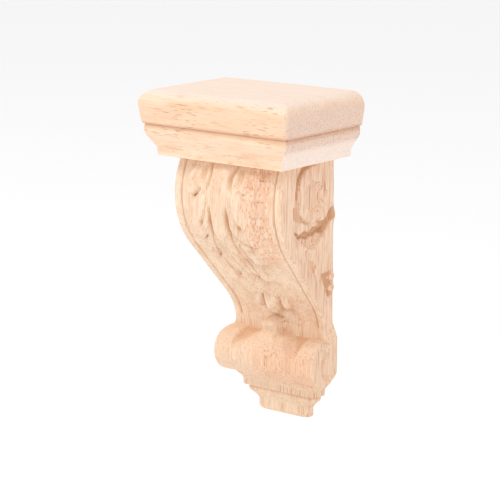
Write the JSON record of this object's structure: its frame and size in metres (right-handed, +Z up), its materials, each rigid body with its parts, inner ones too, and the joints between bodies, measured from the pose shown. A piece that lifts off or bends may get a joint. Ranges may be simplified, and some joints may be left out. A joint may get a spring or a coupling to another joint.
{
  "type": "carved wood corbel",
  "caption": "Carved hardwood corbel: moulded cap over a scrolled body with a hanging acanthus leaf and a lower roll, to fix flat to a wall or cabinet under a shelf.",
  "frame": {"origin": "middle of the flat back, halfway up, where it lies against the wall", "axes": "+X across the width, +Y into the wall, so the carved front faces -Y, and +Z up"},
  "size_m": [0.06, 0.04, 0.11],
  "materials": {
    "cap_wood": "unfinished sanded pale hardwood, grain across",
    "body_wood": "unfinished carved pale hardwood, grain upright"
  },
  "bodies": {
    "root": {"cap": "cap_wood", "body": "body_wood"}
  },
  "joints": []
}
